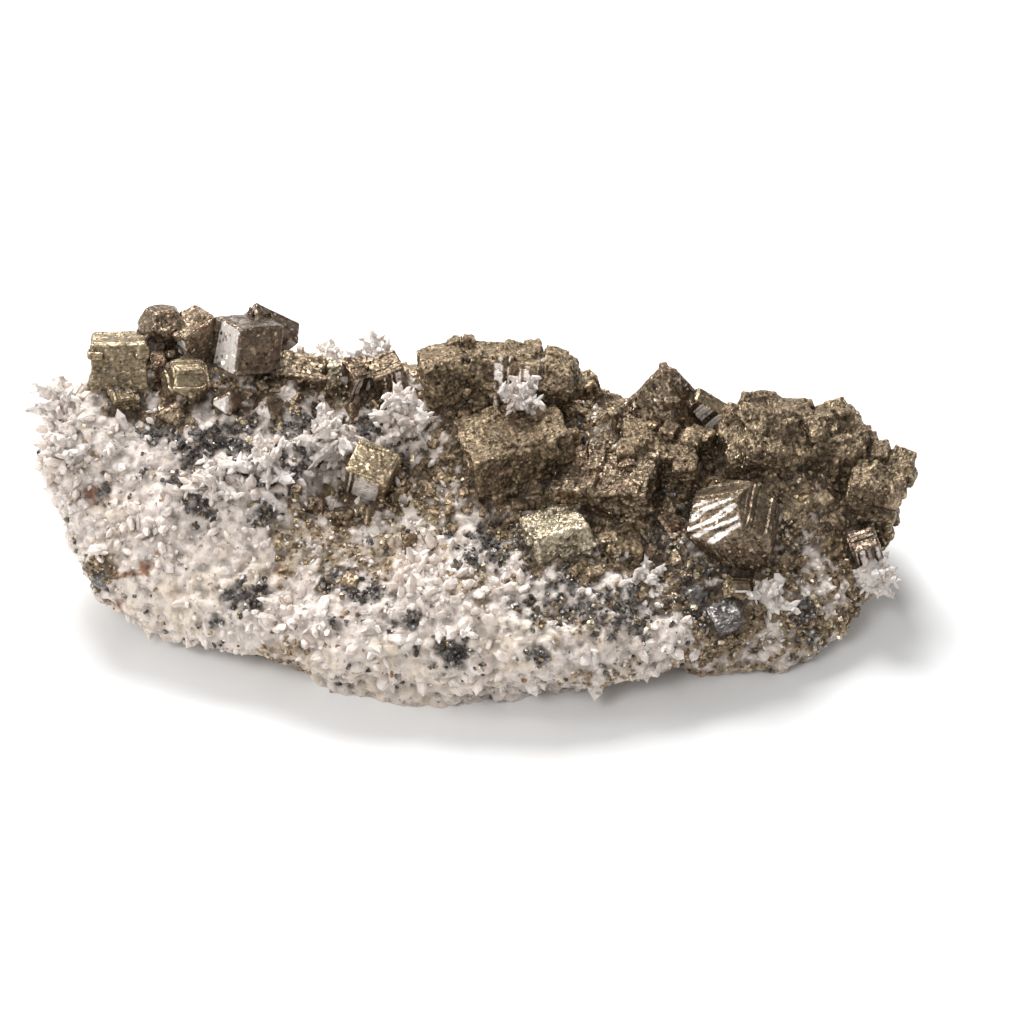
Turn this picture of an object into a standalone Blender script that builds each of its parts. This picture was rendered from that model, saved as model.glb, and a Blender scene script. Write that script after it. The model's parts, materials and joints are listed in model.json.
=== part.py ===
"""A pyrite specimen: crystals of pyrite, quartz and sphalerite grown on one piece of matrix rock.

The rock lies on a small flat seat at Z = 0. X runs along its length, and its low front is towards -Y.
Every table below is in millimetres and degrees. A crystal's turn is (tilt about X, roll about Y, turn
about Z): the roll comes first, then the tilt, then the turn.
"""

import math

import bmesh
import bpy
import numpy as np
from mathutils import Euler, Matrix, Vector

MM = 0.001
GAP = 0.3  # clear space round every crystal, so that neighbouring solids never touch
SOCKET_GROWTH = 0.78  # how much wider a socket is than its crystal: a gap on both sides, and a little more
SPRAY_GAP = 0.39
EDGE_BEVEL = 0.25  # worn crystal edges
EDGE_ANGLE = math.radians(20)
TIP_CUT = 0.09  # half the width of the small face that blunts an octahedron's corner
FLAT_ANGLE = math.radians(1)
ROCK_VOXEL = 1.25
ROCK_TRIANGLES = 4200
ROCK_SMOOTHING = 8
BROAD_RELIEF, BROAD_SCALE = 3.0, 11.0
FINE_RELIEF, FINE_SCALE = 1.5, 6.0
GROUND_WIDTH, GROUND_DEPTH = 0.2, 0.02  # in metres: the block that grinds the seat flat

# name: centre, half sizes, tilt about X, turn about Z
ROCK_LUMPS = {
    "keel": ((4.0, -3.0, 7.8), (45.0, 22.2, 9.2), 0.0, 0.0),
    "back_keel": ((3.0, 8.4, 9.4), (44.0, 17.4, 10.4), 0.0, 0.0),
    "left_keel": ((-27.0, -6.0, 7.2), (18.0, 13.4, 7.4), 0.0, -8.0),
    "left_slope": ((-36.0, 1.6, 14.6), (17.5, 18.4, 8.6), 32.0, -10.0),
    "left_tip": ((-49.0, 7.0, 19.0), (8.0, 9.0, 7.0), 20.0, 0.0),
    "left_crown": ((-35.0, 13.6, 20.0), (17.0, 11.0, 8.0), 0.0, 0.0),
    "middle_slope": ((-3.0, -3.6, 7.4), (27.0, 21.4, 8.8), 26.0, 0.0),
    "middle_crown": ((-4.0, 12.6, 15.5), (22.0, 11.0, 8.0), 0.0, 0.0),
    "right_slope": ((35.0, -0.4, 7.0), (20.5, 18.4, 8.6), 18.0, 12.0),
    "right_crown": ((43.0, 7.0, 10.5), (14.0, 12.4, 8.0), 0.0, 0.0),
}

# name: habit, centre, size along its own axes, turn
PYRITE = {
    # the left crown
    "pyrite_cube_left_end": ("block", (-46.2, 12.6, 29.8), (7.4, 6.4, 6.4), (-22, 3, 7)),
    "pyrite_chip_left_end": ("block", (-45.6, 8.2, 26.6), (3.6, 3.2, 3.4), (10, 8, 18)),
    "pyrite_grain_between_cubes": ("block", (-41.2, 11.8, 29.0), (3.0, 3.2, 4.4), (6, -8, 12)),
    "pyrite_dome": ("dodecahedron", (-40.8, 16.4, 32.2), (6.2, 6.2, 6.6), (10, 12, 20)),
    "pyrite_wedge_left": ("block", (-36.2, 16.0, 30.9), (5.4, 5.2, 6.2), (-6, -10, 38)),
    "pyrite_dodecahedron_left": ("dodecahedron", (-37.2, 9.6, 28.2), (6.8, 6.6, 7.0), (18, 8, 14)),
    "pyrite_orange_foot": ("octahedron", (-38.6, 5.6, 26.2), (4.8, 4.6, 4.4), (10, 20, 30)),
    "pyrite_bright_block": ("block", (-29.2, 14.8, 30.6), (6.0, 7.2, 6.8), (-20, -14, -56)),
    "pyrite_tilted_bar": ("block", (-26.4, 18.8, 30.2), (7.2, 3.6, 3.4), (12, 38, 0)),
    "pyrite_slab_dark": ("block", (-23.2, 14.2, 26.6), (8.2, 4.0, 3.2), (16, 6, -8)),
    "pyrite_triangle_left": ("octahedron", (-31.6, 7.2, 27.0), (4.4, 4.2, 4.4), (24, 10, 10)),
    "pyrite_triangle_right": ("octahedron", (-26.4, 7.4, 26.0), (4.6, 4.4, 4.6), (20, -8, 24)),
    # the saddle between the left and middle crowns
    "pyrite_grain_saddle": ("dodecahedron", (-18.6, 14.6, 25.4), (4.2, 4.0, 4.0), (12, 14, 6)),
    "pyrite_cube_saddle_a": ("block", (-14.8, 15.0, 25.2), (3.8, 3.8, 3.8), (14, 12, 32)),
    "pyrite_cube_saddle_b": ("block", (-10.8, 15.0, 25.2), (4.4, 4.2, 4.6), (6, -10, 22)),
    "pyrite_striped_cube": ("block", (-12.4, -0.2, 21.0), (5.6, 5.2, 6.2), (18, 14, -24)),
    # the middle crown
    "pyrite_crown_left_lobe": ("block", (-2.8, 13.6, 25.4), (5.8, 6.0, 8.6), (-14, -6, 14)),
    "pyrite_crown_block": ("block", (4.2, 13.8, 25.2), (11.6, 6.8, 8.6), (-16, 2, -4)),
    "pyrite_crown_right_lobe": ("dodecahedron", (11.6, 13.2, 25.4), (7.8, 8.4, 8.8), (8, 10, -16)),
    "pyrite_great_cube": ("block", (6.6, 4.6, 21.0), (13.6, 10.4, 7.4), (-3, -6, 17)),
    "pyrite_granular_cube": ("block", (12.4, -8.6, 14.4), (7.6, 7.0, 9.8), (-16, -5, 16)),
    "pyrite_long_block": ("block", (18.6, -1.0, 17.4), (13.0, 9.0, 8.4), (-4, -7, -15)),
    "pyrite_column": ("block", (20.4, -8.6, 13.4), (4.6, 4.6, 8.4), (8, 4, 4)),
    "pyrite_cube_small_middle": ("block", (19.6, -13.2, 10.4), (3.4, 3.2, 3.4), (16, 10, 8)),
    # the right crown
    "pyrite_peak": ("octahedron", (26.4, 12.4, 19.4), (13.4, 11.4, 17.0), (-4, 5, 12)),
    "pyrite_peak_blade": ("block", (32.0, 12.0, 21.6), (5.4, 2.4, 4.6), (10, 36, -10)),
    "pyrite_shoulder_block": ("block", (25.6, 4.8, 18.4), (10.2, 8.4, 8.2), (-8, 5, -10)),
    "pyrite_striated_dodecahedron": ("dodecahedron", (35.2, -6.6, 17.2), (12.6, 11.4, 12.0), (12, -26, -14)),
    "pyrite_dodecahedron_foot": ("dodecahedron", (35.4, -14.0, 12.4), (4.4, 4.2, 4.2), (10, 20, 12)),
    "pyrite_ridge_block": ("dodecahedron", (41.2, 8.2, 18.4), (14.6, 13.4, 13.6), (8, 14, 12)),
    "pyrite_ridge_shoulder": ("dodecahedron", (49.8, 8.2, 18.0), (10.6, 11.6, 13.2), (0, -10, 24)),
    "pyrite_right_end": ("block", (54.8, 2.4, 14.8), (6.4, 8.6, 10.4), (4, 6, -14)),
    "pyrite_gilt_chip": ("block", (53.2, -5.0, 11.8), (3.6, 3.4, 5.0), (12, -18, 14)),
    "pyrite_hollow_cube_a": ("block", (26.8, -5.4, 15.6), (3.4, 3.4, 3.4), (22, 14, 36)),
    "pyrite_hollow_cube_b": ("block", (27.2, -9.8, 14.0), (3.2, 3.4, 3.0), (10, -20, 10)),
    # the back slope
    "pyrite_back_left": ("dodecahedron", (-30.6, 21.4, 20.6), (6.6, 6.2, 6.4), (-20, 12, 30)),
    "pyrite_back_saddle": ("block", (-6.4, 21.8, 17.6), (5.6, 5.2, 5.4), (-28, 14, 24)),
    "pyrite_back_middle": ("block", (14.6, 20.4, 15.8), (7.0, 6.4, 6.6), (-24, -10, 36)),
    "pyrite_back_right": ("dodecahedron", (37.6, 17.6, 13.2), (6.2, 6.0, 6.0), (-22, 16, -12)),
}

SPHALERITE = {
    "sphalerite_left_rim": ("octahedron", (-47.6, -9.4, 10.2), (4.0, 3.8, 3.8), (12, 10, 20)),
    "sphalerite_ridged": ("octahedron", (30.2, -14.8, 12.6), (4.2, 4.0, 4.4), (16, 6, 8)),
    "sphalerite_grey_cube": ("block", (33.8, -17.0, 10.6), (3.8, 3.4, 3.6), (14, -12, 24)),
    "sphalerite_front": ("octahedron", (-16.4, -12.6, 13.2), (4.6, 4.2, 4.2), (22, 8, 34)),
}

# name: root centre, root radius, direction that the spray leans in, longest blade, number of blades
QUARTZ = {
    "quartz_left_end": ((-52.8, 9.4, 24.4), 2.6, (-0.7, -0.1, 0.7), 4.8, 8),
    "quartz_left_shoulder": ((-51.6, 3.4, 22.2), 2.4, (-0.5, -0.45, 0.7), 4.0, 7),
    "quartz_saddle": ((-12.0, 18.4, 23.6), 2.2, (-0.1, 0.1, 0.98), 4.4, 7),
    "quartz_middle_spray": ((-7.6, 8.4, 22.8), 2.6, (-0.25, -0.35, 0.9), 5.0, 8),
    "quartz_slope_spray": ((-18.0, 4.2, 22.4), 2.6, (-0.1, -0.5, 0.85), 4.8, 8),
    "quartz_blades_front": ((-26.4, 0.0, 21.4), 2.2, (0.1, -0.55, 0.8), 5.0, 7),
    "quartz_blades_left": ((-32.6, -2.2, 20.2), 2.2, (-0.2, -0.55, 0.8), 4.4, 7),
    "quartz_on_crown": ((7.4, 8.8, 26.6), 2.0, (0.1, -0.5, 0.85), 3.4, 6),
    "quartz_hollow_spray": ((24.0, -12.4, 12.0), 2.2, (0.1, -0.55, 0.85), 4.2, 7),
    "quartz_foot_spray": ((39.6, -13.4, 11.0), 2.0, (0.2, -0.55, 0.8), 3.6, 6),
    "quartz_right_rim": ((54.0, -7.0, 8.8), 2.4, (0.7, -0.5, 0.3), 3.4, 7),
    "quartz_back": ((-19.0, 22.0, 18.2), 2.6, (0.05, 0.6, 0.75), 4.6, 8),
}

QUARTZ_THICKNESS = 0.3  # a blade's width as a share of its length
BLADE_SHOULDER = 0.68  # where along a blade its point starts
BLADE_FOOT = 0.8  # a blade's width at its foot as a share of its width at the shoulder
BLADE_STEP = 0.09  # each blade of a set of four is shorter than the last by this share
BLADE_ROOT = 0.6  # how much of the root's radius is added to a blade
WELD = 0.01
GOLDEN_ANGLE = math.radians(137.5)
SPRAY_SPREAD = math.radians(58.0)


def clear_scene():
    for obj in list(bpy.data.objects):
        bpy.data.objects.remove(obj, do_unlink=True)


def new_collection(name):
    collection = bpy.data.collections.new(name)
    bpy.context.scene.collection.children.link(collection)
    return collection


def new_material(name, colour, roughness, metallic):
    material = bpy.data.materials.new(name)
    material.use_nodes = True
    shader = material.node_tree.nodes["Principled BSDF"]
    shader.inputs["Base Color"].default_value = (*colour, 1.0)
    shader.inputs["Roughness"].default_value = roughness
    shader.inputs["Metallic"].default_value = metallic
    return material


def new_object(name, shape, collection, material=None):
    mesh = bpy.data.meshes.new(name)
    shape.to_mesh(mesh)
    shape.free()
    obj = bpy.data.objects.new(name, mesh)
    collection.objects.link(obj)
    if material:
        mesh.materials.append(material)
    return obj


def placed(centre, turn):
    rotation = Euler(map(math.radians, turn), "YXZ").to_matrix().to_4x4()
    return Matrix.Translation(Vector(centre) * MM) @ rotation


# Habits: each is a convex solid one unit across, centred on the origin.


def block_points():
    return [Vector((x, y, z)) for x in (-0.5, 0.5) for y in (-0.5, 0.5) for z in (-0.5, 0.5)]


def octahedron_points():
    """An octahedron whose six corners are cut off by small cube faces."""
    cut = TIP_CUT
    points = []
    for axis in range(3):
        for end in (-0.5 + cut, 0.5 - cut):
            for other in ((axis + 1) % 3, (axis + 2) % 3):
                for side in (-cut, cut):
                    point = Vector((0.0, 0.0, 0.0))
                    point[axis] = end
                    point[other] = side
                    points.append(point / (1.0 - 2.0 * cut))
    return points


def dodecahedron_points():
    """The pyritohedron: twelve five-sided faces, in pairs that meet along a roof edge."""
    corner, roof, roof_half = 1.0 / 3.0, 0.5, 0.25
    ends = (-corner, corner)
    points = [Vector((x, y, z)) for x in ends for y in ends for z in ends]
    for axis in range(3):
        for end in (-roof, roof):
            for side in (-roof_half, roof_half):
                point = Vector((0.0, 0.0, 0.0))
                point[axis] = end
                point[(axis + 1) % 3] = side
                points.append(point)
    return points


HABITS = {"block": block_points, "octahedron": octahedron_points, "dodecahedron": dodecahedron_points}


def crystal_shape(habit, size):
    """The convex hull of a habit's corners, stretched to its size in millimetres."""
    shape = bmesh.new()
    for point in HABITS[habit]():
        shape.verts.new([c * s * MM for c, s in zip(point, size)])
    bmesh.ops.convex_hull(shape, input=shape.verts)
    bmesh.ops.dissolve_limit(shape, angle_limit=FLAT_ANGLE, verts=shape.verts, edges=shape.edges)
    bmesh.ops.recalc_face_normals(shape, faces=shape.faces)
    return shape


def blade_shape(length, width):
    """A six-sided quartz prism with a pointed end, from the origin up along +Z."""
    shape = bmesh.new()
    shoulder = BLADE_SHOULDER * length
    radius = width / 2.0
    for low, high, bottom, top in ((0.0, shoulder, BLADE_FOOT, 1.0), (shoulder, length, 1.0, 0.0)):
        middle = Matrix.Translation((0.0, 0.0, (low + high) / 2.0 * MM))
        bmesh.ops.create_cone(
            shape,
            cap_ends=True,
            segments=6,
            radius1=bottom * radius * MM,
            radius2=top * radius * MM,
            depth=(high - low) * MM,
            matrix=middle,
        )
    bmesh.ops.remove_doubles(shape, verts=shape.verts, dist=WELD * MM)
    joined = [f for f in shape.faces if abs(f.calc_center_median().z - shoulder * MM) < WELD * MM]
    inner = [f for f in joined if len(f.verts) == 6]
    bmesh.ops.delete(shape, geom=inner, context="FACES_ONLY")
    bmesh.ops.recalc_face_normals(shape, faces=shape.faces)
    return shape


def hide_as_cutter(obj):
    obj.hide_render = True
    obj.display_type = "WIRE"
    return obj


def boolean(obj, name, operation, other, solver="EXACT"):
    modifier = obj.modifiers.new(name, "BOOLEAN")
    modifier.operation = operation
    modifier.solver = solver
    modifier.object = other
    return modifier


def bounds_of(obj):
    corners = np.array([obj.matrix_world @ Vector(corner) for corner in obj.bound_box])
    return corners.min(axis=0), corners.max(axis=0)


def boxes_meet(first, second):
    low_a, high_a = bounds_of(first)
    low_b, high_b = bounds_of(second)
    return bool((low_a < high_b).all() and (low_b < high_a).all())


def evaluated_shape(obj):
    bpy.context.view_layer.update()
    mesh = bpy.data.meshes.new_from_object(obj.evaluated_get(bpy.context.evaluated_depsgraph_get()))
    shape = bmesh.new()
    shape.from_mesh(mesh)
    bpy.data.meshes.remove(mesh)
    return shape


def keep_largest_piece(shape):
    """Removes crumbs: every connected piece but the one with the most faces."""
    left = set(shape.verts)
    pieces = []
    while left:
        edge_of_piece = [left.pop()]
        piece = set(edge_of_piece)
        while edge_of_piece:
            vertex = edge_of_piece.pop()
            for edge in vertex.link_edges:
                other = edge.other_vert(vertex)
                if other not in piece:
                    piece.add(other)
                    edge_of_piece.append(other)
        left -= piece
        pieces.append(piece)
    pieces.sort(key=len)
    crumbs = [vertex for piece in pieces[:-1] for vertex in piece]
    bmesh.ops.delete(shape, geom=crumbs, context="VERTS")


def bake(obj, material=None):
    """Applies the object's modifiers and drops the crumbs."""
    shape = evaluated_shape(obj)
    keep_largest_piece(shape)
    obj.modifiers.clear()
    shape.to_mesh(obj.data)
    shape.free()
    obj.data.materials.clear()
    if material:
        obj.data.materials.append(material)


def clear_of_neighbours(crystal, grown, material):
    """Cuts a crystal back from the ones that were there before it."""
    for earlier in grown:
        if boxes_meet(crystal, earlier):
            boolean(crystal, "clear_of_" + earlier.name, "DIFFERENCE", earlier)
    bake(crystal, material)


def grow_crystals(table, parts, cutters, material, grown):
    """Adds each crystal and its cutter, and cuts it back to clear those that grew before it."""
    for name, (habit, centre, size, turn) in table.items():
        place = placed(centre, turn)
        crystal = new_object(name, crystal_shape(habit, size), parts, material)
        crystal.matrix_world = place
        socket = crystal_shape(habit, [s + SOCKET_GROWTH for s in size])
        cutter = new_object(name + "_cutter", socket, cutters)
        cutter.matrix_world = place
        hide_as_cutter(cutter)
        bevel = crystal.modifiers.new("worn_edges", "BEVEL")
        bevel.width = EDGE_BEVEL * MM
        bevel.segments = 1
        bevel.limit_method = "ANGLE"
        bevel.angle_limit = EDGE_ANGLE
        bpy.context.view_layer.update()
        clear_of_neighbours(crystal, grown, material)
        grown.append(cutter)


def spray_directions(lean, count):
    """Unit vectors spread round the leaning direction, as seeds are in a sunflower."""
    turn = Vector((0.0, 0.0, 1.0)).rotation_difference(Vector(lean))
    for i in range(count):
        tilt = SPRAY_SPREAD * math.sqrt(i / (count - 1.0))
        around = i * GOLDEN_ANGLE
        flat = Vector((math.sin(tilt) * math.cos(around), math.sin(tilt) * math.sin(around), math.cos(tilt)))
        yield i, turn @ flat


def spray_shape(radius, lean, longest, count, grow):
    """The blades of one spray about the origin, grown outwards by a margin."""
    spray = bmesh.new()
    for i, direction in spray_directions(lean, count):
        length = longest * (1.0 - BLADE_STEP * (i % 4)) + radius * BLADE_ROOT
        blade = blade_shape(length + 2.0 * grow, QUARTZ_THICKNESS * length + 2.0 * grow)
        place = Vector((0.0, 0.0, 1.0)).rotation_difference(direction).to_matrix().to_4x4()
        place = place @ Matrix.Translation((0.0, 0.0, -grow * MM))
        bmesh.ops.transform(blade, matrix=place, verts=blade.verts)
        mesh = bpy.data.meshes.new("blade")
        blade.to_mesh(mesh)
        blade.free()
        spray.from_mesh(mesh)
        bpy.data.meshes.remove(mesh)
    return spray


def root_shape(radius, grow):
    root = bmesh.new()
    bmesh.ops.create_icosphere(root, subdivisions=2, radius=(radius + grow) * MM)
    return root


def grow_quartz(parts, cutters, material, grown):
    """Adds each spray of quartz: a root that sits in the rock, with pointed blades joined to it."""
    for name, (centre, radius, lean, longest, count) in QUARTZ.items():
        place = Matrix.Translation(Vector(centre) * MM)
        pieces = []
        for suffix, grow, home, finish in (("", 0.0, parts, material), ("_cutter", SPRAY_GAP, cutters, None)):
            root = new_object(name + suffix, root_shape(radius, grow), home, finish)
            spray = spray_shape(radius, lean, longest, count, grow)
            blades = new_object(name + suffix + "_blades", spray, cutters)
            root.matrix_world = place
            blades.matrix_world = place
            hide_as_cutter(blades)
            join = boolean(root, "blades", "UNION", blades)
            join.use_self = True
            pieces.append(root)
        crystal, cutter = pieces
        bake(hide_as_cutter(cutter))
        bpy.context.view_layer.update()
        clear_of_neighbours(crystal, grown, material)
        grown.append(cutter)


def relief(rock, name, kind, scale, strength):
    texture = bpy.data.textures.new(name, kind)
    texture.noise_scale = scale * MM
    displace = rock.modifiers.new(name, "DISPLACE")
    displace.texture = texture
    displace.texture_coords = "LOCAL"
    displace.mid_level = 0.5
    displace.strength = strength * MM


def add_rock(parts, cutters, material, grown):
    """The matrix: lumps fused into one body, roughened, ground flat below and cut clear of the crystals."""
    lumps = bmesh.new()
    for centre, half, tilt, turn in ROCK_LUMPS.values():
        matrix = placed(centre, (tilt, 0, turn)) @ Matrix.Diagonal((*(Vector(half) * MM), 1.0))
        bmesh.ops.create_icosphere(lumps, subdivisions=4, radius=1.0, matrix=matrix)
    rock = new_object("matrix", lumps, parts, material)
    remesh = rock.modifiers.new("one_body", "REMESH")
    remesh.mode = "VOXEL"
    remesh.voxel_size = ROCK_VOXEL * MM
    smooth = rock.modifiers.new("soften_joins", "SMOOTH")
    smooth.iterations = ROCK_SMOOTHING
    relief(rock, "broad_relief", "CLOUDS", BROAD_SCALE, BROAD_RELIEF)
    relief(rock, "fine_relief", "VORONOI", FINE_SCALE, -FINE_RELIEF)
    bake(rock, material)
    reduce = rock.modifiers.new("fewer_faces", "DECIMATE")
    reduce.ratio = ROCK_TRIANGLES / (2.0 * len(rock.data.polygons))
    bake(rock, material)
    seat = bmesh.new()
    block = Matrix.Diagonal((GROUND_WIDTH, GROUND_WIDTH, GROUND_DEPTH, 1.0))
    bmesh.ops.create_cube(seat, size=1.0, matrix=block)
    ground = hide_as_cutter(new_object("ground_cutter", seat, cutters))
    ground.location.z = -GROUND_DEPTH / 2.0
    boolean(rock, "flat_seat", "DIFFERENCE", ground)
    for cutter in grown:
        boolean(rock, "socket_" + cutter.name, "DIFFERENCE", cutter, solver="MANIFOLD")
    bake(rock, material)
    return rock


def centre_on_seat(parts, cutters):
    """Hangs everything from one empty that puts the origin under the middle of the bounding box."""
    bpy.context.view_layer.update()
    graph = bpy.context.evaluated_depsgraph_get()
    corners = []
    for obj in parts.objects:
        evaluated = obj.evaluated_get(graph)
        corners += [evaluated.matrix_world @ Vector(corner) for corner in evaluated.bound_box]
    corners = np.array(corners)
    middle = (corners.min(axis=0) + corners.max(axis=0)) / 2.0
    anchor = bpy.data.objects.new("specimen_origin", None)
    parts.objects.link(anchor)
    for obj in [*parts.objects, *cutters.objects]:
        if obj is not anchor:
            obj.parent = anchor
    anchor.location = (-middle[0], -middle[1], -corners[:, 2].min())


def main():
    clear_scene()
    parts = new_collection("pyrite_specimen")
    cutters = new_collection("cutters")
    rock = new_material("matrix_rock", (0.50, 0.45, 0.42), 0.80, 0.0)
    pyrite = new_material("pyrite", (0.24, 0.18, 0.10), 0.35, 1.0)
    sphalerite = new_material("sphalerite", (0.07, 0.065, 0.07), 0.30, 0.3)
    quartz = new_material("quartz", (0.78, 0.74, 0.74), 0.25, 0.0)
    grown = []
    grow_crystals(PYRITE, parts, cutters, pyrite, grown)
    grow_crystals(SPHALERITE, parts, cutters, sphalerite, grown)
    grow_quartz(parts, cutters, quartz, grown)
    add_rock(parts, cutters, rock, grown)
    centre_on_seat(parts, cutters)


main()
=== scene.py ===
import json
import math

import bpy
import numpy as np
from mathutils import Euler, Matrix, Vector, noise
from mathutils.bvhtree import BVHTree

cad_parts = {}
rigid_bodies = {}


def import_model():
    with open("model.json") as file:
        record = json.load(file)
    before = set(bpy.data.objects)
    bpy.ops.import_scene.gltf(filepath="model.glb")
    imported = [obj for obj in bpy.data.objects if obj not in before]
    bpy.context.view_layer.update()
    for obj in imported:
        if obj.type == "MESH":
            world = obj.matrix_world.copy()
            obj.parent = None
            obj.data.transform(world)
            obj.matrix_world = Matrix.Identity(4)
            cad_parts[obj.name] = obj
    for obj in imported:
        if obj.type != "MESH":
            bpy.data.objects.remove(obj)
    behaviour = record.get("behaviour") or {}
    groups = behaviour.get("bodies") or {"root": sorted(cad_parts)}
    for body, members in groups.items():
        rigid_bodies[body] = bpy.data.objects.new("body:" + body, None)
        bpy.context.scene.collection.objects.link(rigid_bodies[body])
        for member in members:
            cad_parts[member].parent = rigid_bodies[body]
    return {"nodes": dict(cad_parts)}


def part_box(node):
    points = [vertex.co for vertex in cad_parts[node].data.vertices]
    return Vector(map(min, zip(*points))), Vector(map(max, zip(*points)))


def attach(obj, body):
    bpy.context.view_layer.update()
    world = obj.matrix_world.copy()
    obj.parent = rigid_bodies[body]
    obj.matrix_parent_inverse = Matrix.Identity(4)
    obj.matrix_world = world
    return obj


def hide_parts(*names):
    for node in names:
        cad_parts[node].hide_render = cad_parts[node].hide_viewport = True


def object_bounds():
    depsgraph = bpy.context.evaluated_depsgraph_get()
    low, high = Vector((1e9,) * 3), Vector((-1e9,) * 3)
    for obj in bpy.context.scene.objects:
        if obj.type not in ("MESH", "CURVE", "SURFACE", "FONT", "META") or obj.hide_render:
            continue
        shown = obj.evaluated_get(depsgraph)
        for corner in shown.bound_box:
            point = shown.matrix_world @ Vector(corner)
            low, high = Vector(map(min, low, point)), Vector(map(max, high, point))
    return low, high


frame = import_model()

mm = 0.001
mergeDistance = 0.02
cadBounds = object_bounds()
middle = (cadBounds[0] + cadBounds[1]) / 2
base = Vector((middle.x, middle.y, cadBounds[0].z))
print("frame loaded:", len(frame["nodes"]), "nodes")


def deselectAll():
    if bpy.context.mode != "OBJECT":
        bpy.ops.object.mode_set(mode="OBJECT")
    bpy.ops.object.select_all(action="DESELECT")


def pick(piece):
    deselectAll()
    piece.select_set(True)
    bpy.context.view_layer.objects.active = piece
    return piece


def editTopFace(piece):
    # goes into edit mode with only the faces that look straight up selected
    for group in (piece.data.vertices, piece.data.edges, piece.data.polygons):
        group.foreach_set("select", [False] * len(group))
    for face in piece.data.polygons:
        face.select = face.normal.z > 0.9
    bpy.context.tool_settings.mesh_select_mode = (False, False, True)
    bpy.ops.object.mode_set(mode="EDIT")


def applyModifiers(piece):
    pick(piece)
    for modifier in list(piece.modifiers):
        bpy.ops.object.modifier_apply(modifier=modifier.name)
    return piece


def copyOfNode(node, pieceName):
    # the CAD node stays as it is: its copy is merged and worked on
    source = frame["nodes"][node]
    piece = source.copy()
    piece.data = source.data.copy()
    piece.name = pieceName
    for key in list(piece.keys()):
        del piece[key]
    piece.parent = None
    piece.matrix_world = Matrix.Identity(4)
    bpy.context.scene.collection.objects.link(piece)
    piece.data.materials.clear()
    spare = [a.name for a in piece.data.attributes if a.name.startswith(("UVMap", "Color", "custom"))]
    for name in spare:
        piece.data.attributes.remove(piece.data.attributes[name])
    pick(piece)
    bpy.ops.object.mode_set(mode="EDIT")
    bpy.ops.mesh.select_all(action="SELECT")
    bpy.ops.mesh.remove_doubles(threshold=mergeDistance * mm)
    bpy.ops.object.mode_set(mode="OBJECT")
    return piece


def finishPiece(piece, nodes, finishMaterial):
    piece.data.materials.clear()
    piece.data.materials.append(finishMaterial)
    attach(piece, "root")
    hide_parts(*nodes)


def remeshed(piece, voxel):
    pick(piece)
    modifier = piece.modifiers.new("oneSkin", "REMESH")
    modifier.mode = "VOXEL"
    modifier.voxel_size = voxel * mm
    return applyModifiers(piece)


def roughened(piece, name, kind, grain, strength, middleLevel=0.5):
    texture = bpy.data.textures.new(name, kind)
    texture.noise_scale = grain * mm
    modifier = piece.modifiers.new(name, "DISPLACE")
    modifier.texture = texture
    modifier.texture_coords = "LOCAL"
    modifier.mid_level = middleLevel
    modifier.strength = strength * mm
    return modifier


def verticesOf(mesh):
    places = np.empty(len(mesh.vertices) * 3, np.float32)
    mesh.vertices.foreach_get("co", places)
    return places.reshape(-1, 3).astype(float)


def normalsOf(mesh):
    normals = np.empty(len(mesh.vertices) * 3, np.float32)
    mesh.vertices.foreach_get("normal", normals)
    return normals.reshape(-1, 3).astype(float)


def writeVertices(mesh, places):
    mesh.vertices.foreach_set("co", places.astype(np.float32).ravel())
    mesh.update()


def writeValues(mesh, name, values):
    attribute = mesh.attributes.new(name, "FLOAT", "POINT")
    attribute.data.foreach_set("value", values.astype(np.float32))


cameraView = {"elevation": 42.0, "lens": 100.0, "distance": 391.0, "side": 6.05, "rise": 9.6}

tilt = math.radians(cameraView["elevation"])
upward = Vector((0, math.sin(tilt), math.cos(tilt)))
backward = Vector((0, -math.cos(tilt), math.sin(tilt)))
aim = base + Vector((cameraView["side"] * mm, 0, 0)) + upward * cameraView["rise"] * mm
bpy.ops.object.camera_add(location=aim + backward * cameraView["distance"] * mm)
camera = bpy.context.object
camera.name = "specimenCamera"
camera.rotation_euler = (math.radians(90) - tilt, 0, 0)
camera.data.lens = cameraView["lens"]
camera.data.sensor_width = 36
camera.data.clip_start = 0.01
bpy.context.scene.camera = camera

studio = {
    "floorSize": 4.0,
    "floorShade": 0.86,
    "worldTop": 0.50,
    "worldFront": 0.32,
    # name: (place in mm from the seat, size in mm, power in W)
    "lamps": {
        "keyPanel": ((-90, 300, 430), 280, 3.7),
        "frontPanel": ((-170, -300, 420), 180, 0.9),
        "leftGlint": ((-400, -30, 225), 80, 0.5),
    },
}


def addLamp(name, place, size, power):
    spot = base + Vector(place) * mm
    bpy.ops.object.light_add(type="AREA", location=spot)
    lamp = bpy.context.object
    lamp.name = name
    lamp.data.shape = "SQUARE"
    lamp.data.size = size * mm
    lamp.data.energy = power
    lamp.rotation_euler = (base + Vector((0, 0, 12 * mm)) - spot).to_track_quat("-Z", "Y").to_euler()


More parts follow.
